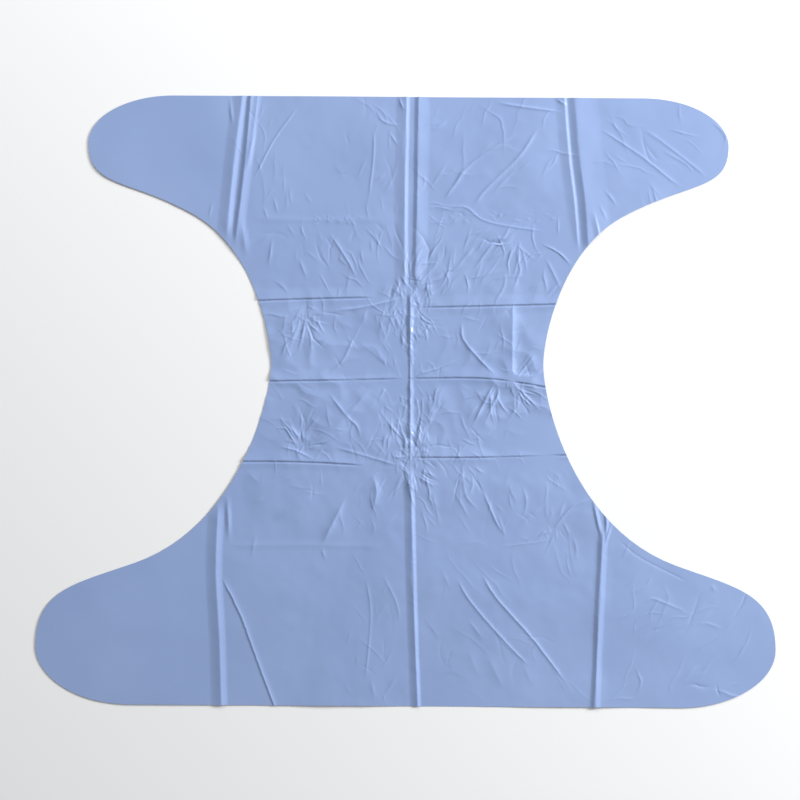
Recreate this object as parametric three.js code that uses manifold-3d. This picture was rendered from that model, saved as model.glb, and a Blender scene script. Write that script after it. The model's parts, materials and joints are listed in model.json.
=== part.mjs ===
// An hourglass-shaped cape cut from one sheet of thin blue film, unfolded and lying flat.
// It was packed by folding the lobes in, the sheet in half along its middle, and the doubled waist
// back over the rest. Each pressed crease works as a living hinge, so the sheet is built as the
// panels of film between its creases.
// Millimetres, +Z up. The origin is under the middle of the sheet, with +Y towards the end that
// has the shorter lobes. Everything is symmetric about the YZ plane.
import * as THREE from 'three';
import { mergeVertices } from 'three/addons/utils/BufferGeometryUtils.js';
import Module from 'manifold-3d';

const wasm = await Module();
wasm.setup();

// The film and its cut
const FILM = 0.2;             // thickness
const CREASE_GAP = 0.3;       // between two neighbouring pieces
const SHEET_LENGTH = 609;     // along Y, end to end
const WAIST_WIDTH = 272;
const WAIST_Y = 37;           // the narrowest place
const TOP_SPAN = 640;         // across the lobes at the +Y end, tip to tip
const TOP_TIP_DROP = 48;      // from the +Y edge down to the lobe's tip
const TOP_CORNER = 85;        // how far the corner's curve reaches along the edge
const BOTTOM_SPAN = 740;      // across the lobes at the -Y end
const BOTTOM_TIP_RISE = 58;   // from the -Y edge up to the lobe's tip
const BOTTOM_CORNER = 95;

// Where the side cut turns from the lobe's round end into the waist's hollow, and its slope there
const TOP_TURN_X = 106;       // in from the lobe's tip
const TOP_TURN_Y = 71;        // down from the lobe's tip
const TOP_TURN_SLOPE = 29;    // degrees from the X axis
const BOTTOM_TURN_X = 100;    // in from the lobe's tip
const BOTTOM_TURN_Y = 84;     // up from the lobe's tip
const BOTTOM_TURN_SLOPE = 19.7;

// Handles of the side cut's curves, in the order in which the cut meets them
const TOP_TIP_HANDLE = 45;
const TOP_TURN_HANDLES = [75, 68];
const WAIST_HANDLES = [30, 33];
const BOTTOM_TURN_HANDLES = [111, 64];
const BOTTOM_TIP_HANDLE = 57;

// Creases
const UPPER_CREASE_Y = 103;
const MIDDLE_CREASE_Y = 21.5;
const LOWER_CREASE_Y = -60;
const TOP_LOBE_CREASE_X = 160;      // at the +Y edge
const TOP_LOBE_CREASE_LEAN = 16;    // further out by this much at the side cut
const BOTTOM_LOBE_CREASE_X = 187;   // at the -Y edge
const BOTTOM_LOBE_CREASE_LEAN = 6;
const LOBE_CREASE_RUN = 175;        // along Y, the length over which a lobe crease leans

const CURVE_STEPS = 24;             // straight lengths in each curve of the outline

const blue = { color: 0x94a9d4, roughness: 0.42, metalness: 0 };

function sideCut(shape, side) {
  const top = SHEET_LENGTH / 2;
  const topTip = [TOP_SPAN / 2, top - TOP_TIP_DROP];
  const bottomTip = [BOTTOM_SPAN / 2, BOTTOM_TIP_RISE - top];
  const waist = [WAIST_WIDTH / 2, WAIST_Y];
  const topTurn = [topTip[0] - TOP_TURN_X, topTip[1] - TOP_TURN_Y];
  const bottomTurn = [bottomTip[0] - BOTTOM_TURN_X, bottomTip[1] + BOTTOM_TURN_Y];
  const down = [0, -1];
  const inward = direction(180 + TOP_TURN_SLOPE);
  const outward = direction(-BOTTOM_TURN_SLOPE);
  const curves = [
    [topTip, down, TOP_TIP_HANDLE, TOP_TURN_HANDLES[0], inward, topTurn],
    [topTurn, inward, TOP_TURN_HANDLES[1], WAIST_HANDLES[0], down, waist],
    [waist, down, WAIST_HANDLES[1], BOTTOM_TURN_HANDLES[0], outward, bottomTurn],
    [bottomTurn, outward, BOTTOM_TURN_HANDLES[1], BOTTOM_TIP_HANDLE, down, bottomTip],
  ];
  const ordered = side > 0 ? curves : curves.reverse().map(reversed);
  for (const [from, leave, first, last, arrive, to] of ordered) {
    shape.bezierCurveTo(
      side * (from[0] + first * leave[0]), from[1] + first * leave[1],
      side * (to[0] - last * arrive[0]), to[1] - last * arrive[1],
      side * to[0], to[1],
    );
  }
}

function direction(degrees) {
  const angle = THREE.MathUtils.degToRad(degrees);
  return [Math.cos(angle), Math.sin(angle)];
}

function reversed([from, leave, first, last, arrive, to]) {
  const back = ([x, y]) => [-x, -y];
  return [to, back(arrive), last, first, back(leave), from];
}

function corner(shape, x, y, width, height, quarter) {
  const start = quarter * Math.PI / 2;
  shape.absellipse(x, y, width, height, start, start - Math.PI / 2, true);
}

function outline() {
  const edge = SHEET_LENGTH / 2;
  const topX = TOP_SPAN / 2 - TOP_CORNER;
  const bottomX = BOTTOM_SPAN / 2 - BOTTOM_CORNER;
  const topY = edge - TOP_TIP_DROP;
  const bottomY = BOTTOM_TIP_RISE - edge;
  const shape = new THREE.Shape();
  shape.moveTo(-topX, edge);
  shape.lineTo(topX, edge);
  corner(shape, topX, topY, TOP_CORNER, TOP_TIP_DROP, 1);
  sideCut(shape, 1);
  corner(shape, bottomX, bottomY, BOTTOM_CORNER, BOTTOM_TIP_RISE, 0);
  shape.lineTo(-bottomX, -edge);
  corner(shape, -bottomX, bottomY, BOTTOM_CORNER, BOTTOM_TIP_RISE, -1);
  sideCut(shape, -1);
  corner(shape, -topX, topY, TOP_CORNER, TOP_TIP_DROP, -2);
  return shape;
}

function solid(shape) {
  const options = { depth: FILM, bevelEnabled: false, curveSegments: CURVE_STEPS };
  let geometry = new THREE.ExtrudeGeometry(shape, options);
  geometry.deleteAttribute('normal');
  geometry.deleteAttribute('uv');
  geometry = mergeVertices(geometry, 1e-4);
  return new wasm.Manifold(new wasm.Mesh({
    numProp: 3,
    vertProperties: new Float32Array(geometry.attributes.position.array),
    triVerts: new Uint32Array(geometry.index.array),
  }));
}

// The part of the sheet inside a four-sided region, given by its corners in order
function cutOut(sheet, corners) {
  const region = new THREE.Shape(corners.map(([x, y]) => new THREE.Vector2(x, y)));
  const mesh = sheet.intersect(solid(region)).getMesh();
  const geometry = new THREE.BufferGeometry();
  geometry.setAttribute('position', new THREE.BufferAttribute(mesh.vertProperties, 3));
  geometry.setIndex(new THREE.BufferAttribute(mesh.triVerts, 1));
  return geometry;
}

const sheet = solid(outline());
const cape = new THREE.Group();

function add(name, corners) {
  const material = new THREE.MeshStandardMaterial(blue);
  const piece = new THREE.Mesh(cutOut(sheet, corners), material);
  piece.name = name;
  cape.add(piece);
}

const half = CREASE_GAP / 2;
const beyond = SHEET_LENGTH + TOP_SPAN + BOTTOM_SPAN; // well outside the sheet

// A band across the sheet, from the centre crease outwards on one side
function band(name, side, low, high) {
  const corners = [[half, low], [beyond, low], [beyond, high], [half, high]];
  add(name, corners.map(([x, y]) => [side * x, y]));
}

// The field at one end of the sheet: a panel from the centre crease to the lobe crease, and the
// lobe beyond it
function field(end, name, side, inner, creaseX, lean) {
  const edge = end * SHEET_LENGTH / 2;
  const slope = lean / LOBE_CREASE_RUN;
  const creaseAt = (y, shift) => side * (creaseX + slope * Math.abs(edge - y) + shift);
  const far = end * beyond;
  add(`${end > 0 ? 'top' : 'bottom'}_${name}_panel`, [
    [side * half, inner], [creaseAt(inner, -half), inner],
    [creaseAt(edge, -half), edge], [creaseAt(edge, -half), far], [side * half, far],
  ]);
  add(`${end > 0 ? 'top' : 'bottom'}_${name}_lobe`, [
    [creaseAt(inner, half), inner], [creaseAt(edge, half), edge], [creaseAt(edge, half), far],
    [side * beyond, far], [side * beyond, inner],
  ]);
}

for (const [name, side] of [['left', -1], ['right', 1]]) {
  field(1, name, side, UPPER_CREASE_Y + half, TOP_LOBE_CREASE_X, TOP_LOBE_CREASE_LEAN);
  band(`upper_${name}_band`, side, MIDDLE_CREASE_Y + half, UPPER_CREASE_Y - half);
  band(`lower_${name}_band`, side, LOWER_CREASE_Y + half, MIDDLE_CREASE_Y - half);
  field(-1, name, side, LOWER_CREASE_Y - half, BOTTOM_LOBE_CREASE_X, BOTTOM_LOBE_CREASE_LEAN);
}

export default cape;
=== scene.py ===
"""Film cape: an hourglass of thin satin film, unfolded from its packet and lying on a pale floor."""

import functools
import json
import math

import bpy
import numpy as np
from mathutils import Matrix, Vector, geometry


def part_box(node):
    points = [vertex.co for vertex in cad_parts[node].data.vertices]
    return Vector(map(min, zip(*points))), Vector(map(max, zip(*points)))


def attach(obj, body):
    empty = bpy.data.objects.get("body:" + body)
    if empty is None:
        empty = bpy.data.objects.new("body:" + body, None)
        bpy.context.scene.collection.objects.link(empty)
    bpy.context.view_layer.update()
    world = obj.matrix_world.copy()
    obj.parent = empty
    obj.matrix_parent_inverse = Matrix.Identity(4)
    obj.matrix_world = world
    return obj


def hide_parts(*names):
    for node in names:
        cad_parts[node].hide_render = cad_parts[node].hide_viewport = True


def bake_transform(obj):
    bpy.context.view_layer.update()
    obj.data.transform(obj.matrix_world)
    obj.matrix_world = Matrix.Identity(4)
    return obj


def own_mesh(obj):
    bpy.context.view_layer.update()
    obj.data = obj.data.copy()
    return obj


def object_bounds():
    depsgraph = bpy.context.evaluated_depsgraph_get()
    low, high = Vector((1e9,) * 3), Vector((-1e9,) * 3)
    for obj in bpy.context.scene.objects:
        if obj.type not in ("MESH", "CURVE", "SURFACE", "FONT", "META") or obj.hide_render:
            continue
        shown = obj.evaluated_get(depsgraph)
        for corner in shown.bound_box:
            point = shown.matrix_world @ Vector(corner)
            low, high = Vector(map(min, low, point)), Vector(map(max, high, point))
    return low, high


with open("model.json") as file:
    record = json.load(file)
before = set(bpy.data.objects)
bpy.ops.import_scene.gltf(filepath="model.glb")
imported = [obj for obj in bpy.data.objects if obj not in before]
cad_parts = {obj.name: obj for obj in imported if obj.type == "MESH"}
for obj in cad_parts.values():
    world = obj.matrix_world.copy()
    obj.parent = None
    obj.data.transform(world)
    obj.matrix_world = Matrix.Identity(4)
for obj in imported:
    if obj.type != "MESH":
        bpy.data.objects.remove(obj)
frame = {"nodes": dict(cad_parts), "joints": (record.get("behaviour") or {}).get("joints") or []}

bl_info = {
    "name": "Film Cape",
    "version": (1, 0, 0),
    "blender": (4, 5, 0),
    "location": "View3D > Sidebar > Film Cape",
    "description": "Builds an unfolded cape of creased film, with its fold strips and studio",
    "category": "Object",
}

MM = 0.001
CELL = 0.5  # spacing of the relief's grid, in millimetres
MARGIN = 12  # how far the relief's grid reaches past the sheet, in millimetres
EDGE_STEP = 0.75  # spacing of the points along every piece's edge, in millimetres
FINEST = 0.65  # spacing of the points where the film bends most sharply, in millimetres
FAN_WRINKLE = 0.42  # height of the wrinkles in a fan, before the wrinkle setting, in millimetres
PLACED_SEED = 5  # for the small stray of the folds that are placed one by one
LOOSE_SEED = 11  # for the waves and for the wrinkles that have no place of their own

CAD_LOW, CAD_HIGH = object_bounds()
FILM_THICKNESS = CAD_HIGH.z - CAD_LOW.z
JOINTS = {joint["name"]: joint for joint in frame["joints"]}
SIDES = {"left": -1, "right": 1}

# Fold lines pressed into the film, as (height, left, right, points), in millimetres. Height is
# above the film, or below it when negative. Left and right are the widths of the line's two
# flanks, seen along its points. A crease that crosses the sheet's edge ends outside it.
PACKING_CREASES = [
    (1.4, 8.0, 2.8, [(-3, 108), (-3.5, 210), (-2, 330)]),
    (1.4, 9.0, 3.0, [(10, 330), (9, 210), (8, 108)]),
    (1.26, 3.0, 1.8, [(3, 116), (2.5, 70), (3, 24), (3.5, -60)]),
    (1.5, 6.0, 2.8, [(14, -330), (10, -250), (7, -170), (4, -62)]),
    (1.0, 7.0, 2.2, [(171, 146), (166, 200), (160, 248), (153, 330)]),
    (1.68, 6.0, 18.0, [(181, 146), (177, 200), (171, 248), (164, 330)]),
    (0.7, 1.5, 4.0, [(184, 196), (190, 172), (194, 150)]),
    (1.54, 8.0, 4.0, [(-182, 158), (-174, 243), (-163, 330)]),
    (1.54, 3.0, 6.0, [(-173, 153), (-163, 241), (-156, 330)]),
    (0.7, 3.0, 3.0, [(-148, 330), (-157, 255), (-163, 226)]),
    (0.56, 2.0, 2.0, [(-179, 306), (-176, 272)]),
    (0.7, 4.0, 4.0, [(-167, 186), (-161, 140)]),
    (1.5, 8.0, 5.0, [(-183, -330), (-186, -240), (-190, -170), (-188, -98)]),
    (0.84, 3.0, 3.0, [(-179, -92), (-177, -144)]),
    (1.25, 3.6, 4.4, [(189, -330), (193, -208), (197, -120)]),
    (0.4, 6.0, 9.0, [(189, -330), (193, -208), (197, -120)]),
    (0.98, 2.5, 2.0, [(186, -92), (191, -118), (197, -140)]),
    (0.98, 2.0, 1.8, [(196, -102), (200, -118), (199, -140)]),
    (0.84, 1.5, 1.5, [(206, -118), (198, -144)]),
    (0.98, 8.0, 0.9, [(-175, 100), (-100, 103), (-30, 105)]),
    (0.4, 0.9, 5.0, [(-175, 97), (-100, 100), (-30, 102)]),
    (0.98, 8.0, 0.9, [(8, 95), (80, 97), (176, 100)]),
    (0.4, 0.9, 5.0, [(8, 92), (80, 94), (176, 97)]),
    (0.98, 8.0, 0.9, [(-170, 20), (-70, 22), (8, 24)]),
    (0.4, 0.9, 5.0, [(-170, 17), (-70, 19), (8, 21)]),
    (0.98, 8.0, 0.9, [(-6, 24), (86, 24), (172, 10)]),
    (0.4, 0.9, 5.0, [(-6, 21), (86, 21), (172, 7)]),
    (0.98, 8.0, 0.9, [(-205, -60), (-110, -60), (-40, -63)]),
    (0.4, 0.9, 5.0, [(-205, -63), (-110, -63), (-40, -66)]),
    (0.98, 8.0, 0.9, [(2, -55), (90, -54), (205, -50)]),
    (0.4, 0.9, 5.0, [(2, -58), (90, -57), (205, -53)]),
    (0.28, 4.0, 4.0, [(-160, 182), (-90, 181), (-20, 182)]),
    (0.28, 4.0, 4.0, [(-180, -145), (-100, -144), (-20, -145)]),
]

# Wrinkles between the creases, in the same form, grouped by where they lie on the sheet. The
# wrinkle setting scales their heights.
TOP_LEFT_WRINKLES = [
    (0.45, 0.7, 0.7, [(-110, 295), (-135, 260), (-155, 220)]),
    (0.35, 0.9, 0.9, [(-35, 275), (-35, 245), (-40, 200)]),
    (0.4, 1.2, 1.2, [(-35, 295), (-25, 280), (-5, 275)]),
    (0.4, 1.2, 1.2, [(-20, 270), (-10, 255)]),
    (0.6, 0.9, 0.9, [(-10, 305), (-5, 290)]),
    (0.25, 1.8, 1.8, [(-10, 245), (-15, 225), (-25, 205)]),
    (0.3, 4.0, 4.0, [(-75, 240), (-60, 215)]),
    (0.5, 1.5, 1.5, [(-80, 170), (-60, 140), (-50, 120)]),
    (0.4, 1.5, 1.5, [(-110, 145), (-100, 120)]),
    (0.3, 1.2, 1.2, [(-135, 205), (-130, 185)]),
    (0.3, 1.2, 1.2, [(-145, 195), (-140, 180)]),
    (0.35, 1.2, 1.2, [(-130, 170), (-155, 155)]),
    (0.45, 1.2, 1.2, [(-135, 165), (-140, 130)]),
    (0.3, 0.9, 0.9, [(-195, 200), (-200, 180)]),
    (0.25, 1.2, 1.2, [(-105, 210), (-95, 195)]),
]

TOP_RIGHT_WRINKLES = [
    (0.5, 1.2, 1.2, [(85, 300), (115, 295), (155, 290)]),
    (0.5, 1.2, 1.2, [(145, 305), (160, 295)]),
    (0.6, 1.3, 1.3, [(110, 270), (65, 240), (45, 215), (35, 200)]),
    (0.6, 1.3, 1.3, [(130, 275), (110, 245), (80, 215), (65, 195)]),
    (0.35, 1.2, 1.2, [(110, 235), (90, 215), (85, 205)]),
    (0.4, 1.2, 1.2, [(60, 240), (45, 215)]),
    (0.3, 1.2, 1.2, [(40, 240), (25, 220)]),
    (0.35, 1.5, 1.5, [(45, 290), (30, 275), (15, 270)]),
    (0.35, 0.9, 0.9, [(25, 190), (55, 195), (80, 180), (140, 170)]),
    (0.6, 1.2, 1.2, [(90, 165), (75, 145), (65, 130)]),
    (0.5, 1.2, 1.2, [(70, 160), (45, 130)]),
    (0.45, 1.2, 1.2, [(30, 160), (20, 140)]),
    (0.4, 1.2, 1.2, [(45, 155), (40, 130), (35, 115)]),
    (0.4, 1.2, 1.2, [(105, 160), (100, 140)]),
    (0.4, 1.2, 1.2, [(115, 140), (105, 110)]),
    (0.3, 1.2, 1.2, [(105, 160), (130, 140)]),
    (0.8, 1.5, 0.9, [(130, 160), (150, 150), (165, 135)]),
    (0.4, 1.5, 1.5, [(135, 150), (150, 120), (155, 110)]),
    (0.4, 0.9, 0.9, [(150, 190), (150, 160)]),
    (0.35, 1.2, 1.2, [(190, 275), (235, 245), (260, 225), (275, 215)]),
    (0.3, 1.2, 1.2, [(235, 275), (275, 245), (300, 225)]),
    (0.25, 1.2, 1.2, [(250, 255), (285, 235)]),
    (0.25, 0.6, 0.6, [(255, 275), (295, 265)]),
    (0.3, 1.2, 1.2, [(300, 285), (315, 270), (320, 255)]),
    (0.35, 1.2, 1.2, [(195, 215), (210, 195)]),
    (0.3, 1.2, 1.2, [(190, 200), (200, 180)]),
]

WAIST_WRINKLES = [
    (0.7, 1.0, 2.0, [(-75, 90), (-40, 95), (0, 105)]),
    (0.42, 1.2, 1.2, [(-125, 85), (-90, 100)]),
    (-0.34, 0.9, 0.9, [(-90, 90), (-60, 85)]),
    (0.51, 1.2, 1.2, [(-100, 85), (-105, 65), (-110, 45)]),
    (0.51, 1.3, 1.3, [(-45, 80), (-55, 60), (-65, 40), (-80, 25)]),
    (0.59, 1.3, 1.3, [(55, 85), (55, 65), (70, 45), (90, 25)]),
    (1.4, 3.8, 12.0, [(105, 100), (105, 50), (105, 5)]),
    (0.5, 9.0, 9.0, [(-55, 65), (-30, 45), (-5, 25)]),
    (0.8, 1.1, 1.1, [(105, 15), (120, 30), (140, 40)]),
    (0.7, 1.1, 1.1, [(105, 20), (130, 50)]),
    (0.6, 1.1, 1.1, [(105, 20), (135, 30)]),
    (0.68, 1.1, 1.1, [(105, 20), (120, 5), (135, -10)]),
    (0.42, 1.1, 1.1, [(110, 15), (110, -5), (100, -15)]),
    (0.9, 1.2, 1.2, [(90, 20), (85, 15), (65, -25)]),
    (0.7, 1.2, 1.2, [(90, 20), (90, 5), (75, -15)]),
    (0.7, 0.9, 0.9, [(5, 25), (35, 35), (55, 45)]),
    (0.51, 1.3, 1.3, [(-80, 10), (-60, -15), (-50, -25), (-45, -40)]),
    (1.1, 9.0, 9.0, [(-35, 15), (-65, -20), (-95, -45)]),
    (1.0, 8.0, 8.0, [(40, 20), (25, -5), (20, -30)]),
    (0.51, 0.9, 0.9, [(-130, -45), (-110, -50), (-90, -60)]),
    (0.42, 0.9, 0.9, [(-105, -45), (-80, -40), (-55, -25)]),
    (0.42, 1.2, 1.2, [(-75, -45), (-40, -55), (-5, -65)]),
]

BOTTOM_LEFT_WRINKLES = [
    (0.55, 1.8, 0.7, [(-185, -175), (-165, -215), (-150, -255), (-125, -320)]),
    (0.26, 0.9, 0.9, [(-40, -175), (-35, -215), (-40, -280)]),
    (0.22, 1.2, 1.2, [(-25, -170), (-10, -200), (-5, -225)]),
    (0.22, 1.2, 1.2, [(-10, -245), (-25, -270)]),
    (0.9, 3.0, 4.0, [(-60, -95), (-70, -115), (-85, -145)]),
    (1.1, 4.0, 6.0, [(-35, -70), (-30, -90), (-35, -115)]),
    (0.6, 5.0, 5.0, [(-85, -90), (-135, -120)]),
    (0.3, 4.0, 4.0, [(-160, -70), (-145, -85)]),
    (0.26, 1.8, 1.8, [(-150, -130), (-155, -160)]),
    (0.26, 1.2, 1.2, [(-85, -145), (-80, -160)]),
    (0.3, 1.8, 1.8, [(-5, -270), (-25, -300)]),
    (0.26, 1.8, 1.8, [(-35, -275), (-30, -300)]),
]

BOTTOM_RIGHT_WRINKLES = [
    (0.48, 1.3, 1.3, [(75, -85), (90, -120), (100, -135)]),
    (0.3, 1.2, 1.2, [(90, -110), (100, -135)]),
    (0.3, 1.2, 1.2, [(115, -80), (120, -100), (115, -120)]),
    (0.3, 1.5, 1.5, [(140, -100), (110, -125)]),
    (0.3, 1.5, 1.5, [(160, -95), (150, -120)]),
    (0.54, 1.3, 1.3, [(185, -95), (165, -105), (145, -130)]),
    (0.3, 1.5, 1.5, [(55, -70), (60, -95), (75, -110)]),
    (0.27, 1.5, 1.5, [(45, -85), (65, -120)]),
    (0.24, 1.8, 1.8, [(25, -85), (35, -130)]),
    (0.24, 1.2, 1.2, [(90, -145), (130, -140), (150, -135)]),
    (0.24, 1.2, 1.2, [(165, -130), (170, -145), (170, -160)]),
    (0.42, 1.3, 1.3, [(50, -175), (65, -200), (100, -240), (125, -265)]),
    (0.48, 1.3, 1.3, [(75, -170), (90, -195), (130, -240), (160, -280)]),
    (0.24, 1.5, 1.5, [(60, -215), (80, -240)]),
    (0.18, 1.5, 1.5, [(35, -165), (45, -190)]),
    (0.36, 6.0, 6.0, [(80, -250), (100, -290)]),
    (0.3, 6.0, 6.0, [(115, -255), (130, -290)]),
    (0.3, 7.0, 7.0, [(60, -240), (75, -280)]),
    (0.3, 1.8, 1.8, [(310, -205), (280, -230), (220, -275)]),
    (0.24, 1.5, 1.5, [(335, -210), (315, -230), (285, -250)]),
    (-0.18, 0.7, 0.7, [(210, -135), (235, -155), (285, -180)]),
    (0.21, 1.2, 1.2, [(225, -135), (215, -160)]),
    (-0.3, 0.7, 0.7, [(310, -280), (315, -295)]),
    (0.15, 1.8, 1.8, [(235, -170), (220, -185)]),
    (0.24, 1.8, 1.8, [(305, -180), (310, -190)]),
]

# Knots where creases cross and the film has crumpled, as (centre, reach, height, wrinkles), the
# height as a share of the crumple setting
KNOTS = [
    ((3, 104), 23, 0.85, 64),
    ((6, -60), 23, 0.85, 64),
    ((4, 62), 20, 0.7, 36),
    ((4, -18), 20, 0.6, 30),
    ((-102, 87), 10, 0.7, 12),
    ((-104, -46), 10, 0.7, 12),
    ((106, 17), 8, 0.9, 10),
    ((52, -53), 8, 0.5, 8),
]

# Fans of fine wrinkles, as (centre, first angle, last angle, shortest, longest, wrinkles), the
# angles in degrees from +X
FANS = [
    ((-102, 88), 195, 290, 18, 48, 14),
    ((-102, 86), 300, 350, 14, 36, 5),
    ((-104, -46), 75, 160, 16, 44, 12),
    ((-104, -48), 10, 60, 12, 34, 5),
    ((106, 17), -80, 70, 16, 40, 14),
    ((92, 22), 205, 265, 22, 60, 9),
    ((3, 100), 225, 315, 20, 64, 18),
    ((5, -58), 55, 130, 18, 60, 18),
    ((5, -66), 215, 335, 18, 60, 14),
    ((4, 110), 15, 130, 16, 60, 14),
    ((150, -120), 200, 300, 14, 40, 7),
    ((60, -58), 240, 310, 20, 50, 7),
    ((110, 170), 215, 275, 20, 60, 9),
]

# Fields of loose wrinkles, as (low corner, high corner, mean angle, spread, shortest, longest,
# height, wrinkles)
FIELDS = [
    ((-26, 28), (30, 98), 92, 14, 8, 26, 0.3, 50),
    ((-28, -56), (30, 14), 88, 16, 8, 26, 0.3, 50),
    ((-130, 24), (140, 100), 70, 40, 12, 46, 0.22, 80),
    ((-140, -56), (150, 18), 110, 40, 12, 46, 0.22, 80),
    ((14, 104), (150, 176), 62, 14, 16, 60, 0.34, 42),
    ((-140, 106), (-10, 176), 112, 18, 14, 50, 0.25, 36),
    ((14, -136), (170, -62), 118, 22, 14, 46, 0.2, 40),
    ((-150, -130), (-10, -66), 65, 40, 14, 46, 0.18, 24),
    ((20, 178), (150, 192), 5, 30, 5, 16, 0.2, 34),
    ((20, 196), (150, 296), 52, 10, 24, 90, 0.24, 26),
    ((-60, 190), (-6, 300), 80, 30, 14, 50, 0.2, 18),
    ((20, -300), (180, -150), 125, 10, 24, 90, 0.12, 24),
    ((-60, -300), (-6, -150), 95, 20, 14, 50, 0.14, 14),
    ((190, 190), (312, 290), 137, 12, 20, 70, 0.22, 22),
    ((210, -290), (350, -180), 38, 12, 20, 80, 0.27, 26),
    ((-96, 177), (-40, 186), 0, 40, 4, 10, 0.22, 16),
    ((-158, 190), (-120, 300), 85, 20, 12, 50, 0.2, 14),
]

PLACED_WRINKLES = (
    TOP_LEFT_WRINKLES + TOP_RIGHT_WRINKLES + WAIST_WRINKLES + BOTTOM_LEFT_WRINKLES
    + BOTTOM_RIGHT_WRINKLES)


def millimetres(name, default, description):
    """A length that a user can change, with its default in millimetres"""
    return bpy.props.FloatProperty(
        name=name, description=description, default=default * MM, unit="LENGTH", precision=4)


def linear(code):
    """A colour given as an sRGB hex value, as linear RGB"""
    parts = (int(code[i:i + 2], 16) / 255 for i in (0, 2, 4))
    return [p / 12.92 if p <= 0.04045 else ((p + 0.055) / 1.055) ** 2.4 for p in parts]


def colour(name, code, description):
    """A colour that a user can change, with its default as an sRGB hex value"""
    return bpy.props.FloatVectorProperty(
        name=name, description=description, subtype="COLOR", size=3, min=0, max=1,
        default=linear(code))


class FilmProperties(bpy.types.PropertyGroup):
    tint: colour("Film", "9DB4E1", "Colour of the film, seen straight on")
    deep_tint: colour("Thick film", "8BA2D1", "Colour where the film ran a little thicker")
    roughness: bpy.props.FloatProperty(
        name="Roughness", description="How soft the satin sheen is", default=0.3, min=0, max=1)
    drift: millimetres("Drift", 111.1, "Distance from a thick place in the film to the next")
    grain: millimetres("Grain", 0.9, "Spacing of the calender's fine grain, as it is drawn")


class ReliefProperties(bpy.types.PropertyGroup):
    rest: millimetres("Resting height", 0.5, "Mean height of the film over what it lies on")
    highest: millimetres("Highest fold", 2.15, "Height that no fold passes, so that it packs flat")
    wrinkle: bpy.props.FloatProperty(
        name="Wrinkle height", description="Scale of the height of the wrinkles between creases",
        default=1.2, min=0, max=3)
    sway: millimetres("Sway", 0.4, "Typical height of the broad waves between folds")
    crumple: millimetres("Crumple", 0.34, "Typical height of the fine folds at a knot")
    strip: millimetres("Fold strip", 12, "Width of the strip of film that bends at a fold")
    packed: bpy.props.FloatProperty(
        name="Packed height", description="Share of its relief that a folded panel keeps",
        default=0.35, min=0.05, max=1)


class StageProperties(bpy.types.PropertyGroup):
    floor: colour("Floor", "FAFBFC", "Colour of the floor")
    key: bpy.props.FloatProperty(
        name="Key light", description="Power of the low softbox", default=156, min=0,
        unit="POWER")
    strip: bpy.props.FloatProperty(
        name="Strip light", description="Power of the high strip that gives the folds a glint",
        default=6, min=0, unit="POWER")
    top: bpy.props.FloatProperty(
        name="Top light", description="Power of the softbox beyond the +Y end", default=16,
        min=0, unit="POWER")
    fill: bpy.props.FloatProperty(
        name="Fill light", description="Strength of the even light from all round", default=0.27,
        min=0)
    lens: bpy.props.FloatProperty(
        name="Lens", description="Focal length of the camera, in millimetres", default=85, min=10)
    field: millimetres("Field of view", 800, "Width of floor that the camera takes in")


@functools.lru_cache(maxsize=None)
def relief_grid():
    """The film's height over the floor on a regular grid, in millimetres, and the grid's origin"""
    low = np.array([CAD_LOW.x, CAD_LOW.y]) / MM - MARGIN
    high = np.array([CAD_HIGH.x, CAD_HIGH.y]) / MM + MARGIN
    columns, rows = (np.ceil((high - low) / CELL).astype(int) + 1)
    height = np.zeros((rows, columns))
    x = low[0] + CELL * np.arange(columns)
    y = low[1] + CELL * np.arange(rows)
    placed = (height, x, y, np.random.default_rng(PLACED_SEED))
    loose = (height, x, y, np.random.default_rng(LOOSE_SEED))
    add_sway(loose)
    press_placed_folds(placed)
    dent_waist(loose)
    crumple_knots(loose)
    spread_fans(loose)
    scatter_wrinkles(loose)
    return held_in_range(blurred(height, CELL / 2)), low


def add_sway(grid):
    """Broad, middling and small waves, the smaller ones only where the film is wrinkled"""
    height, x, y, random = grid
    sway = bpy.context.scene.film_relief.sway / MM
    busy = busyness(x, y)
    height += sway * waves(random, height.shape, 90, 240) * (0.45 + 0.55 * busy)
    height += 0.4 * sway * waves(random, height.shape, 34, 90) * (0.15 + 0.85 * busy)
    height += 0.12 * sway * waves(random, height.shape, 12, 34) * busy


def press_placed_folds(grid):
    """The packing creases, which are nearly straight-sided, and the wrinkles placed one by one"""
    for tall, left, right, points in PACKING_CREASES:
        press(grid, points, tall, left, right, taper=22, shake=0.08, hollow=1.3)
    scale = bpy.context.scene.film_relief.wrinkle
    for tall, left, right, points in PLACED_WRINKLES:
        press(grid, points, tall * scale, left, right, taper=18)


def dent_waist(grid, depth=0.3, middle=20, reach=85, rounding=0.02):
    """Shallow dents with ridges between them, over the waist only"""
    height, _, y, random = grid
    dents = np.sqrt(waves(random, height.shape, 26, 80) ** 2 + rounding)
    height -= depth * np.exp(-((y[:, None] - middle) / reach) ** 4) * dents


def crumple_knots(grid):
    """Short, steep wrinkles packed into each knot, most of them along the sheet"""
    random = grid[3]
    crumple = bpy.context.scene.film_relief.crumple / MM
    for (x, y), reach, tall, count in KNOTS:
        for _ in range(count):
            away = reach * 0.9 * math.sqrt(random.random())
            around = random.uniform(0, 2 * math.pi)
            start = (x + away * math.cos(around), y + 1.2 * away * math.sin(around))
            loose_wrinkle(grid, start, random.normal(95, 40), random.uniform(8, 28),
                          tall * crumple)


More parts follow.
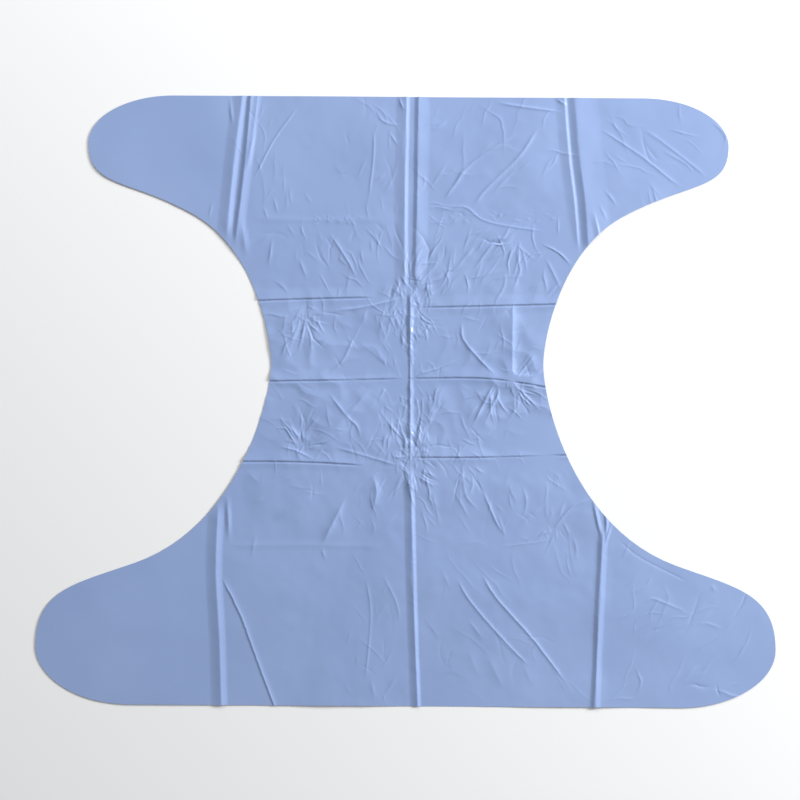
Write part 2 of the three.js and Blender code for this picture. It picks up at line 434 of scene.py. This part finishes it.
def spread_fans(grid):
    """Wrinkles that start a little outside the middle of each fan and run outwards"""
    random = grid[3]
    for (x, y), first, last, shortest, longest, count in FANS:
        for angle in np.linspace(first, last, count):
            angle += random.normal(0, 4)
            gap = random.uniform(2, 9)
            start = (x + gap * math.cos(math.radians(angle)),
                     y + gap * math.sin(math.radians(angle)))
            loose_wrinkle(grid, start, angle, random.uniform(shortest, longest), FAN_WRINKLE,
                          from_start=True)


def scatter_wrinkles(grid):
    """Loose wrinkles over each field"""
    random = grid[3]
    for low, high, mean, spread, shortest, longest, tall, count in FIELDS:
        for _ in range(count):
            start = (random.uniform(low[0], high[0]), random.uniform(low[1], high[1]))
            loose_wrinkle(grid, start, random.normal(mean, spread),
                          random.uniform(shortest, longest), tall)


def held_in_range(height, soft=0.25):
    """The height moved to rest where it should, and bent softly away from floor and limit"""
    settings = bpy.context.scene.film_relief
    rest, highest = settings.rest / MM, settings.highest / MM
    height = height - np.median(height) + rest
    height = (height + np.sqrt(height ** 2 + soft ** 2)) / 2
    height = highest - (highest - height + np.sqrt((highest - height) ** 2 + soft ** 2)) / 2
    return np.maximum(height, 0)


def busyness(x, y):
    """How wrinkled the film is from 0 to 1: most at the waist, more on the right than the left.
    Places and the lengths over which it changes are in millimetres."""
    waist = np.exp(-((y[:, None] - 20) / 120) ** 2)
    to_right = 0.5 + 0.5 * np.tanh((x[None, :] + 60) / 120)
    between_lobes = 1 / (1 + np.exp((np.abs(x[None, :]) - 200) / 30))
    return np.clip(0.25 + 0.75 * waist + 0.35 * to_right - 0.4 * (1 - between_lobes), 0.05, 1)


def frequencies(shape):
    """The spatial frequencies of a grid's spectrum along Y and along X, per millimetre"""
    rows, columns = shape
    return np.fft.fftfreq(rows, CELL)[:, None], np.fft.rfftfreq(columns, CELL)[None, :]


def waves(random, shape, shortest, longest):
    """Seeded noise whose waves are between two lengths in millimetres, with unit deviation"""
    spectrum = np.fft.rfft2(random.standard_normal(shape))
    fy, fx = frequencies(shape)
    frequency = np.sqrt(fx ** 2 + fy ** 2)
    band = np.exp(-(frequency * shortest) ** 4) * (1 - np.exp(-(frequency * longest) ** 4))
    made = np.fft.irfft2(spectrum * band, shape)
    return made / made.std()


def blurred(field, radius):
    """A field of the grid with everything smaller than a radius in millimetres smoothed away"""
    fy, fx = frequencies(field.shape)
    soften = np.exp(-2 * (math.pi * radius) ** 2 * (fx ** 2 + fy ** 2))
    return np.fft.irfft2(np.fft.rfft2(field) * soften, field.shape)


def smooth_path(points, step=3.0):
    """Points along a smooth curve through a few given points"""
    points = np.array(points, float)
    if len(points) == 2:
        points = np.array([points[0], points.mean(0), points[1]])
    padded = np.vstack([2 * points[0] - points[1], points, 2 * points[-1] - points[-2]])
    path = []
    for a, b, c, d in zip(padded, padded[1:], padded[2:], padded[3:]):
        count = max(2, int(np.linalg.norm(c - b) / step))
        for t in np.linspace(0, 1, count, endpoint=False):
            path.append(0.5 * (2 * b + (c - a) * t + (2 * a - 5 * b + 4 * c - d) * t ** 2
                               + (3 * b - a - 3 * c + d) * t ** 3))
    path.append(points[-1])
    return np.array(path)


def press(grid, points, tall, left, right, taper, crest=0.2, shake=0.12, hollow=6):
    """Presses one fold line into the height grid: a rounded crest with a flank on each side. It
    fades in over the taper at each end, its points stray by about the shake, and a hollow of 1
    gives straight flanks, where more gives ones that fall steeply and then level out."""
    height, x, y, random = grid
    path = smooth_path(points)
    path[1:-1] += random.normal(0, shake, (len(path) - 2, 2))
    reach = 5 * max(left, right) + 2  # past this the flanks are too low to see
    (x0, y0), (x1, y1) = path.min(0) - reach, path.max(0) + reach
    i0, i1 = np.searchsorted(x, (x0, x1))
    j0, j1 = np.searchsorted(y, (y0, y1))
    if i0 >= i1 or j0 >= j1:
        return
    px, py = np.meshgrid(x[i0:i1], y[j0:j1])
    a, b = path[:-1], path[1:]
    edge = b - a
    length = np.linalg.norm(edge, axis=1)
    run = np.concatenate([[0], np.cumsum(length)])
    best = np.full(px.shape, np.inf)
    signed = np.zeros(px.shape)
    along = np.zeros(px.shape)
    for k in range(len(edge)):
        dx, dy = px - a[k, 0], py - a[k, 1]
        t = np.clip((dx * edge[k, 0] + dy * edge[k, 1]) / length[k] ** 2, 0, 1)
        gap = np.hypot(dx - t * edge[k, 0], dy - t * edge[k, 1])
        closer = gap < best
        side = edge[k, 0] * dy - edge[k, 1] * dx
        best = np.where(closer, gap, best)
        signed = np.where(closer, side, signed)
        along = np.where(closer, run[k] + t * length[k], along)
    flank = np.where(signed > 0, left, right)
    fall = (np.sqrt(best ** 2 + crest ** 2) - crest) / flank
    profile = np.maximum(0, 1 - fall / hollow) ** hollow
    share = along / run[-1]
    fade = min(0.5, taper / run[-1])
    ends = np.clip(share / fade, 0, 1) * np.clip((1 - share) / fade, 0, 1)
    ends = ends * ends * (3 - 2 * ends)
    height[j0:j1, i0:i1] += tall * profile * ends


def loose_wrinkle(grid, place, angle, length, tall, from_start=False):
    """One fine wrinkle that wanders a little, about as tall as is said. Its place is its middle,
    or its start. One in five is a groove."""
    random = grid[3]
    steps = max(2, int(length / 6))
    heading = math.radians(angle)
    points = [np.array(place, float)]
    if not from_start:
        points[0] -= length / 2 * pointing(heading)
    for _ in range(steps):
        heading += random.normal(0, 0.25)
        points.append(points[-1] + length / steps * pointing(heading))
    size = tall * random.uniform(0.5, 1.25) * (1 if random.random() < 0.8 else -1)
    size *= bpy.context.scene.film_relief.wrinkle
    flank = random.uniform(0.5, 1.1)
    press(grid, points, size, flank, flank * random.uniform(0.6, 2.2), taper=length,
          crest=0.15)


def pointing(heading):
    """A step of length 1 in a direction given in radians"""
    return np.array([math.cos(heading), math.sin(heading)])


def sampled(field, points):
    """A field of the relief's grid at points in millimetres"""
    where = (points - relief_grid()[1]) / CELL
    cell = np.clip(where.astype(int), 0, np.array(field.shape)[::-1] - 2)
    u, v = (where - cell).T
    i, j = cell.T
    return ((1 - u) * (1 - v) * field[j, i] + u * (1 - v) * field[j, i + 1]
            + (1 - u) * v * field[j + 1, i] + u * v * field[j + 1, i + 1])


def film_surface(points):
    """Height and upward normal of the film under points, all in millimetres"""
    slope_y, slope_x = relief_slopes()
    normal = np.stack([-sampled(slope_x, points), -sampled(slope_y, points),
                       np.ones(len(points))], 1)
    return sampled(relief_grid()[0], points), normal / np.linalg.norm(normal, axis=1)[:, None]


@functools.lru_cache(maxsize=None)
def relief_slopes():
    """The film's slope along Y and along X, over the grid"""
    return np.gradient(relief_grid()[0], CELL)


@functools.lru_cache(maxsize=None)
def relief_curvature():
    """How sharply the film bends, per millimetre"""
    slope_y, slope_x = relief_slopes()
    turns = np.gradient(slope_x, CELL) + np.gradient(slope_y, CELL)
    return blurred(np.sqrt(sum(turn ** 2 for turn in turns)), 0.8)


class Crease:
    """A fold's line on the sheet, with a normal that points to the fold's moving side"""

    def __init__(self, joint_name):
        joint = JOINTS[joint_name]
        self.joint = joint
        self.point = np.array(joint["pos_m"][:2]) / MM
        self.height = abs(joint["pos_m"][2]) / MM
        along = np.array(joint["axis"][:2])
        self.normal = np.array([along[1], -along[0]]) / np.linalg.norm(along)
        low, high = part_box(joint["child"])
        middle = np.array([low.x + high.x, low.y + high.y]) / (2 * MM)
        if (middle - self.point) @ self.normal < 0:
            self.normal = -self.normal

    def beyond(self, distance):
        """A cut that keeps the moving side, from a distance past the crease"""
        return self.point, self.normal, distance

    def before(self, distance):
        """A cut that keeps the other side, up to a distance past the crease"""
        return self.point, -self.normal, -distance


@functools.lru_cache(maxsize=None)
def sheet_outline():
    """The outline of the whole sheet, in millimetres, made from the outer edges of the panels"""
    creases = [Crease(name) for name in JOINTS]
    after = {}
    for node in frame["nodes"].values():
        vertices = node.data.vertices
        edges = set()
        for face in node.data.polygons:
            if face.normal.z > 0.5:
                corners = [tuple(round(c / MM, 3) for c in vertices[i].co[:2])
                           for i in face.vertices]
                edges.update(zip(corners, corners[1:] + corners[:1]))
        for a, b in edges:
            if (b, a) not in edges and not any(on_crease(a, b, crease) for crease in creases):
                after[a] = b
    # The panels lie a small gap apart, so each broken end is joined to the start nearest to it
    starts = set(after) - set(after.values())
    for end in sorted(set(after.values()) - set(after)):
        after[end] = min(starts, key=lambda start: math.dist(start, end))
    outline = [min(after)]
    while after[outline[-1]] != outline[0]:
        outline.append(after[outline[-1]])
    return np.array(outline)


def on_crease(a, b, crease, gap=0.25):
    """Whether an edge runs along a crease"""
    return all(abs((np.array(p) - crease.point) @ crease.normal) < gap for p in (a, b))


def clipped(outline, cuts):
    """The part of an outline on the kept side of each cut, given as point, normal, distance"""
    for point, normal, distance in cuts:
        depth = (outline - point) @ normal - distance
        kept = []
        for k in range(len(outline)):
            a, b, da, db = outline[k - 1], outline[k], depth[k - 1], depth[k]
            if (da < 0) != (db < 0):
                kept.append(a + (b - a) * da / (da - db))
            if db >= 0:
                kept.append(b)
        outline = np.array(kept)
    keep = [k for k in range(len(outline)) if math.dist(outline[k], outline[k - 1]) > 0.02]
    return outline[keep]


def divided(outline):
    """The outline with points close together, at the same places on both sides of a cut"""
    points = []
    for a, b in zip(outline, np.roll(outline, -1, axis=0)):
        edge = b - a
        length = np.linalg.norm(edge)
        along = edge / length
        turned = along[0] < -1e-6 or (abs(along[0]) < 1e-6 and along[1] < 0)
        axis = -along if turned else along
        first, last = sorted((a @ axis, b @ axis))
        marks = np.arange(math.ceil(first / EDGE_STEP), last / EDGE_STEP) * EDGE_STEP
        marks = marks[(marks > first + 0.3 * EDGE_STEP) & (marks < last - 0.3 * EDGE_STEP)]
        if turned:
            marks = marks[::-1]
        points.append(a)
        points.extend(a + (m - a @ axis) * axis for m in marks)
    return np.array(points)


def inside(points, outline):
    """Which points lie inside an outline"""
    result = np.zeros(len(points), bool)
    for a, b in zip(outline, np.roll(outline, -1, axis=0)):
        crosses = (a[1] > points[:, 1]) != (b[1] > points[:, 1])
        if a[1] != b[1]:
            at = a[0] + (points[:, 1] - a[1]) * (b[0] - a[0]) / (b[1] - a[1])
            result ^= crosses & (points[:, 0] < at)
    return result


def gap_to(outline, points):
    """Distance from each point to the outline"""
    gaps = np.full(len(points), np.inf)
    for a, b in zip(outline, np.roll(outline, -1, axis=0)):
        edge = b - a
        share = np.clip((points - a) @ edge / (edge @ edge), 0, 1)
        away = points - a - share[:, None] * edge
        gaps = np.minimum(gaps, np.hypot(away[:, 0], away[:, 1]))
    return gaps


def lattice_points(low, high):
    """Points of a triangular lattice between two corners. All are kept where the film bends
    sharply, every other one where it bends a little, and every fourth one where it is flat."""
    row = 0.866  # height of a row of triangles, as a share of their sides
    lean = 0.5 / row
    rows = np.arange(math.floor(low[1] / (row * FINEST)), high[1] / (row * FINEST))
    first = math.floor((low[0] - high[1] * lean) / FINEST) - 2
    columns = np.arange(first, (high[0] - low[1] * lean) / FINEST + 2)
    i, j = (each.ravel() for each in np.meshgrid(columns, rows))
    points = np.column_stack([(i + 0.5 * j) * FINEST, row * j * FINEST])
    near = np.all((points > low) & (points < high), axis=1)
    points, i, j = points[near], i[near], j[near]
    curve = sampled(relief_curvature(), points)
    bends_a_little = curve > 0.02  # a radius under 50 mm
    bends_sharply = curve > 0.06  # a radius under 17 mm
    keep = (i % 4 == 0) & (j % 4 == 0)
    keep |= (i % 2 == 0) & (j % 2 == 0) & bends_a_little
    keep |= bends_sharply
    return points[keep]


def flat_triangles(outline):
    """Points over the area in an outline, and triangles between them that all face up"""
    edge = divided(outline)
    lattice = lattice_points(outline.min(0), outline.max(0))
    lattice = lattice[inside(lattice, outline)]
    lattice = lattice[gap_to(outline, lattice) > 0.5 * EDGE_STEP]
    flat = [Vector(p) for p in np.vstack([edge, lattice.reshape(-1, 2)])]
    made = geometry.delaunay_2d_cdt(flat, [], [list(range(len(edge)))], 1, 1e-5)
    points = np.array([v[:] for v in made[0]])
    triangles = np.array([face for face in made[2]])
    a, b, c = (points[triangles[:, k]] for k in range(3))
    turn = (b - a)[:, 0] * (c - a)[:, 1] - (b - a)[:, 1] * (c - a)[:, 0]
    triangles[turn < 0] = triangles[turn < 0][:, ::-1]
    return points, triangles


def film_mesh(name, outline):
    """The film inside an outline: its two faces, and the cut edge that joins them"""
    points, triangles = flat_triangles(outline)
    height, normal = film_surface(points)
    count = len(points)
    under = np.column_stack([points, height]) * MM
    over = under + [0, 0, FILM_THICKNESS]
    sides = set(map(tuple, np.vstack([triangles[:, [0, 1]], triangles[:, [1, 2]],
                                      triangles[:, [2, 0]]]).tolist()))
    rim = [(p, q) for p, q in sides if (q, p) not in sides]
    faces = (triangles.tolist() + (triangles[:, ::-1] + count).tolist()
             + [(q, p, p + count, q + count) for p, q in sorted(rim)])
    mesh = bpy.data.meshes.new(name)
    mesh.from_pydata(np.vstack([over, under]).tolist(), [], faces)
    mesh.shade_smooth()
    normals = np.vstack([normal[triangles.ravel()], -normal[triangles[:, ::-1].ravel()],
                         np.zeros((4 * len(rim), 3))])
    mesh.normals_split_custom_set(normals.tolist())
    mesh.materials.append(film_material())
    return mesh


def film_piece(name, cuts):
    """The piece of the sheet that some cuts leave, as an object of its own"""
    outline = clipped(sheet_outline(), cuts)
    piece = bpy.data.objects.new(name, film_mesh(name, outline))
    bpy.context.collection.objects.link(piece)
    return piece


def node_with(tree, kind, links=(), **settings):
    """Adds a node with its settings and links. A link is (input, other node, output)."""
    node = tree.nodes.new(kind)
    for key, value in settings.items():
        if key in node.inputs:
            node.inputs[key].default_value = value
        else:
            setattr(node, key, value)
    for socket, other, output in links:
        tree.links.new(other.outputs[output], node.inputs[socket])
    return node


@functools.lru_cache(maxsize=None)
def film_material():
    """Calendered soft PVC film. Rolling leaves it satin, with a fine even grain and a colour that
    drifts a little as the film runs thicker and thinner. The real grain is about 0.2 mm, too fine
    to show, so it is drawn coarser."""
    settings = bpy.context.scene.film_look
    material = bpy.data.materials.new("calendered_pvc_film")
    material.use_nodes = True
    tree = material.node_tree
    shader = tree.nodes["Principled BSDF"]
    place = node_with(tree, "ShaderNodeTexCoord")
    drift = node_with(tree, "ShaderNodeTexNoise", [("Vector", place, "Object")],
                      Scale=1 / settings.drift, Detail=3.0, Roughness=0.5)
    tint = node_with(tree, "ShaderNodeMixRGB", [("Fac", drift, "Fac")],
                     Color1=(*settings.deep_tint, 1), Color2=(*settings.tint, 1))
    tree.links.new(tint.outputs["Color"], shader.inputs["Base Color"])
    grain = node_with(tree, "ShaderNodeTexNoise", [("Vector", place, "Object")],
                      Scale=1 / settings.grain, Detail=2.0, Roughness=0.6)
    bump = node_with(tree, "ShaderNodeBump", [("Height", grain, "Fac")],
                     Strength=0.12, Distance=0.05 * MM)
    tree.links.new(bump.outputs["Normal"], shader.inputs["Normal"])
    shader.inputs["Roughness"].default_value = settings.roughness
    shader.inputs["IOR"].default_value = 1.53
    shader.inputs["Metallic"].default_value = 0
    return material


def fold_strip(name, crease, cuts):
    """A strip of film along a crease, with its place baked into its mesh"""
    settings = bpy.context.scene.film_relief
    half = settings.strip / MM / 2
    piece = film_piece(name, [*cuts, crease.before(half), crease.beyond(-half)])
    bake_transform(piece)
    return piece


def cross_creases(side_name):
    """The creases that cross one half of the sheet, from its +Y end down"""
    return [Crease(f"{place}_{side_name}_fold") for place in ("upper", "middle", "lower")]


def inner_cut(side, distance=0):
    """A cut along the middle of the sheet that keeps one side of it"""
    return np.array([0.0, 0.0]), np.array([side, 0.0]), distance


class FILM_OT_panels(bpy.types.Operator):
    """Builds the twelve panels of film between the creases"""

    bl_idname = "film.panels"
    bl_label = "Panels"

    def execute(self, context):
        settings = context.scene.film_relief
        half = settings.strip / MM / 2
        for name, side in SIDES.items():
            upper, middle, lower = cross_creases(name)
            self.field(f"top_{name}", [upper.beyond(half), inner_cut(side)], settings)
            self.field(f"bottom_{name}", [lower.before(-half), inner_cut(side, half)], settings)
            self.band(f"upper_{name}", [middle.beyond(half), upper.before(-half)], side)
            self.band(f"lower_{name}", [lower.beyond(half), middle.before(-half)], side)
        return {"FINISHED"}

    def field(self, place, cuts, settings):
        """One end's panel and lobe, each attached to its own part"""
        fold = Crease(f"{place}_lobe_fold")
        half = settings.strip / MM / 2
        for kind, cut in (("panel", fold.before(-half)), ("lobe", fold.beyond(half))):
            node = f"{place}_{kind}"
            piece = film_piece(f"{node}_film", [cuts[0], cut, *cuts[1:]])
            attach(piece, node)
            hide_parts(node)
            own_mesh(piece)

    def band(self, place, cuts, side):
        """One panel of the waist, between two cross creases"""
        node = f"{place}_band"
        piece = film_piece(f"{node}_film", [*cuts, inner_cut(side)])
        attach(piece, node)
        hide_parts(node)


class FILM_OT_fold_strips(bpy.types.Operator):
    """Builds the strips of film along the creases"""

    bl_idname = "film.fold_strips"
    bl_label = "Fold strips"

    def execute(self, context):
        half = context.scene.film_relief.strip / MM / 2
        for name, side in SIDES.items():
            upper, middle, lower = cross_creases(name)
            for place, crease in (("upper", upper), ("middle", middle), ("lower", lower)):
                fold_strip(f"{place}_{name}_fold_film", crease, [inner_cut(side)])
            for end, cut in (("top", upper.beyond(half)), ("bottom", lower.before(-half))):
                crease = Crease(f"{end}_{name}_lobe_fold")
                fold_strip(f"{end}_{name}_lobe_fold_film", crease, [cut, inner_cut(side)])
        lower = cross_creases("left")[2]
        fold_strip("centre_fold_film", Crease("centre_fold"), [lower.before(-half)])
        return {"FINISHED"}


class FILM_OT_stage(bpy.types.Operator):
    """Builds the pale floor, the soft light and the camera"""

    bl_idname = "film.stage"
    bl_label = "Stage"

    def execute(self, context):
        settings = context.scene.film_stage
        scene = context.scene
        scene.view_settings.view_transform = "Standard"
        self.floor(settings)
        # Each softbox's place and size are in metres
        self.softbox("key", settings.key, (2.75, 1.05, 0.95), (1.0, 0.8))
        self.softbox("strip", settings.strip, (1.45, 0.2, 2.6), (0.35, 1.6))
        self.softbox("top", settings.top, (-0.2, 1.8, 0.9), (1.4, 0.6))
        self.camera(scene, settings)
        world = bpy.data.worlds.new("soft_studio")
        world.use_nodes = True
        background = world.node_tree.nodes["Background"]
        background.inputs["Color"].default_value = (1, 1, 1, 1)
        background.inputs["Strength"].default_value = settings.fill
        scene.world = world
        return {"FINISHED"}

    def floor(self, settings, half=12.0, gap=0.05 * MM):
        """A matt white board, a hair below the film, that reaches past every view"""
        mesh = bpy.data.meshes.new("floor")
        corners = [(-half, -half), (half, -half), (half, half), (-half, half)]
        mesh.from_pydata([(x, y, CAD_LOW.z - gap) for x, y in corners], [], [(0, 1, 2, 3)])
        floor = bpy.data.objects.new("floor", mesh)
        bpy.context.collection.objects.link(floor)
        material = bpy.data.materials.new("matt_white_board")
        material.use_nodes = True
        shader = material.node_tree.nodes["Principled BSDF"]
        shader.inputs["Base Color"].default_value = (*settings.floor, 1)
        shader.inputs["Roughness"].default_value = 0.9
        mesh.materials.append(material)

    def softbox(self, name, power, place, size):
        """A rectangular light that faces the middle of the sheet"""
        light = bpy.data.lights.new(name, "AREA")
        light.energy = power
        light.shape = "RECTANGLE"
        light.size, light.size_y = size
        lamp = bpy.data.objects.new(name, light)
        bpy.context.collection.objects.link(lamp)
        lamp.location = place
        lamp.rotation_euler = (-lamp.location).to_track_quat("-Z", "Y").to_euler()

    def camera(self, scene, settings, aim=(-7, 1.5), roll=0.35):
        """A camera straight above its aim, in millimetres, turned by a roll in degrees"""
        lens = bpy.data.cameras.new("camera")
        lens.lens = settings.lens
        distance = settings.field * lens.lens / lens.sensor_width
        camera = bpy.data.objects.new("camera", lens)
        bpy.context.collection.objects.link(camera)
        camera.location = (aim[0] * MM, aim[1] * MM, distance)
        camera.rotation_euler = (0, 0, math.radians(roll))
        scene.camera = camera


class FILM_PT_panel(bpy.types.Panel):
    """The film cape's pieces and sizes, in the 3D view's sidebar"""

    bl_idname = "FILM_PT_panel"
    bl_label = "Film Cape"
    bl_space_type = "VIEW_3D"
    bl_region_type = "UI"
    bl_category = "Film Cape"

    def draw(self, context):
        for operator in OPERATORS:
            self.layout.operator(operator.bl_idname)
        for name, group in GROUPS.items():
            for key in group.__annotations__:
                self.layout.prop(getattr(context.scene, name), key)


GROUPS = {
    "film_look": FilmProperties,
    "film_relief": ReliefProperties,
    "film_stage": StageProperties,
}
OPERATORS = (FILM_OT_panels, FILM_OT_fold_strips, FILM_OT_stage)


def register():
    for each in (*GROUPS.values(), *OPERATORS, FILM_PT_panel):
        bpy.utils.register_class(each)
    for name, group in GROUPS.items():
        setattr(bpy.types.Scene, name, bpy.props.PointerProperty(type=group))


def unregister():
    for name in GROUPS:
        delattr(bpy.types.Scene, name)
    for each in reversed((*GROUPS.values(), *OPERATORS, FILM_PT_panel)):
        bpy.utils.unregister_class(each)


def main():
    register()
    bpy.ops.film.panels()
    bpy.ops.film.fold_strips()
    bpy.ops.film.stage()


if __name__ == "__main__":
    main()
